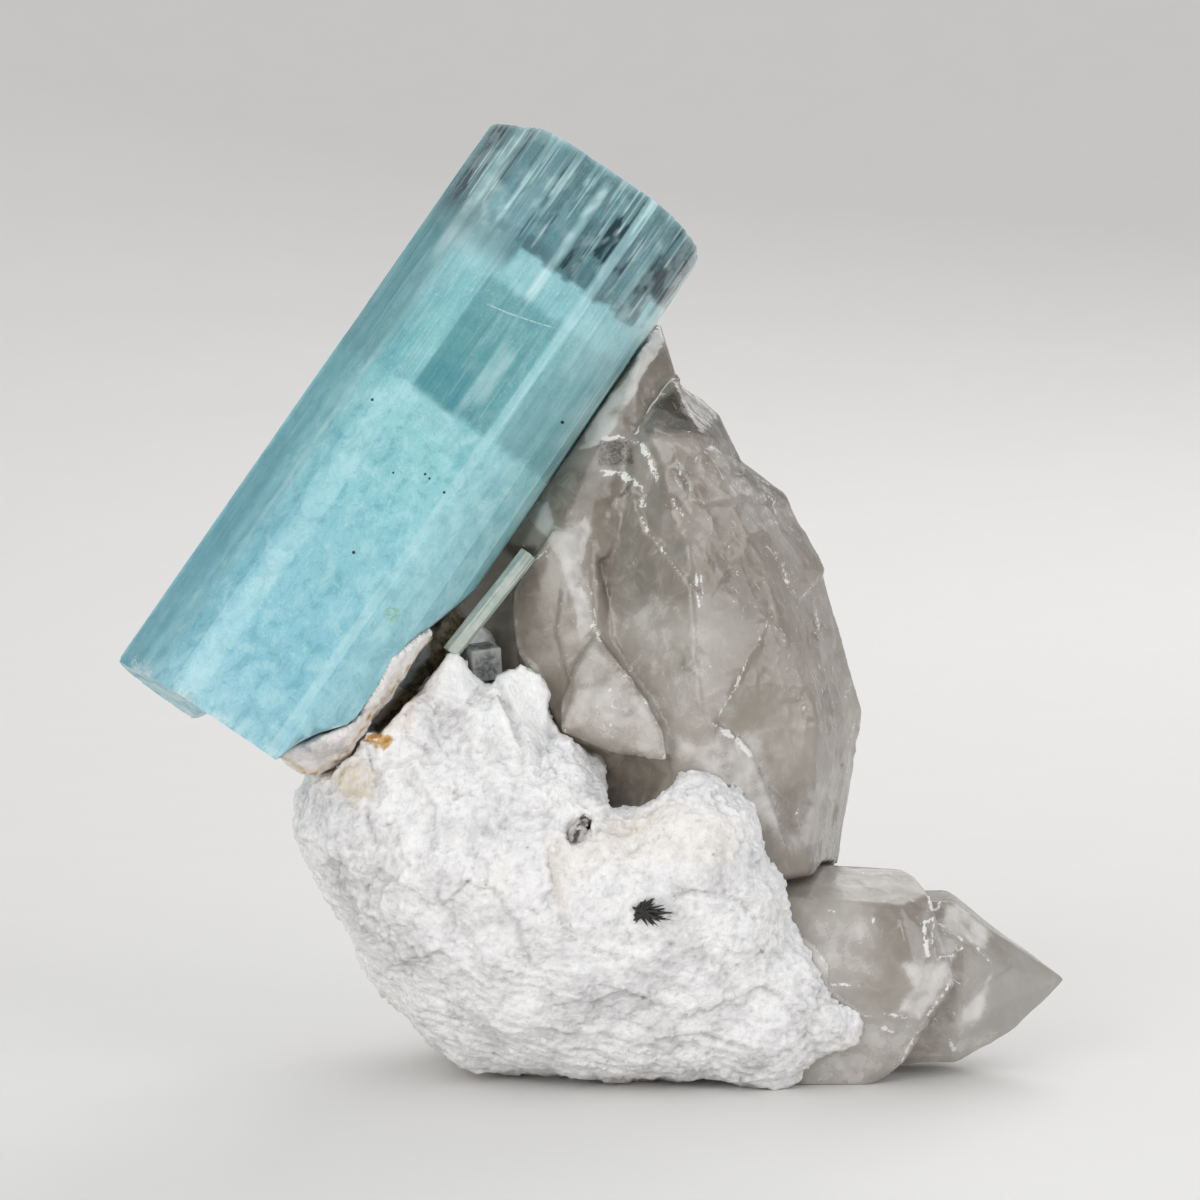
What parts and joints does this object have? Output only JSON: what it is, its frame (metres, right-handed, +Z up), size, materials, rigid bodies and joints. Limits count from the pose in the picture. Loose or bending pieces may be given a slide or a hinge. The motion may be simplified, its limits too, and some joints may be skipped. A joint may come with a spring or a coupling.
{
  "type": "aquamarine crystal specimen",
  "caption": "Mineral specimen: a leaning blue beryl prism and smoky quartz crystals on a lump of white feldspar, resting on its flat base.",
  "frame": {"origin": "centre of the bounding box, at the surface the specimen rests on", "axes": "+Z up, +X to the right of the show side, -Y towards the viewer of the show side"},
  "size_m": [0.1173, 0.0591, 0.1189],
  "materials": {
    "aquamarine": "glassy prism faces with fine lengthwise striations, clear at the top and milky below",
    "smoky_quartz": "milky grey-brown quartz with glassy, pitted and partly healed faces",
    "albite": "matt white granular feldspar with small pearly cleavage faces",
    "stained_albite": "matt white feldspar with orange-brown iron stain",
    "pale_aquamarine": "glassy pale green-blue beryl",
    "grey_fluorite": "glassy grey cube faces",
    "schorl": "shiny black needles"
  },
  "bodies": {
    "root": {"aquamarine_crystal": "aquamarine", "smoky_quartz": "smoky_quartz", "quartz_point": "smoky_quartz", "albite_matrix": "albite", "albite_crust": "stained_albite", "small_aquamarine": "pale_aquamarine", "small_cube": "grey_fluorite", "schorl_spray": "schorl"}
  },
  "joints": []
}
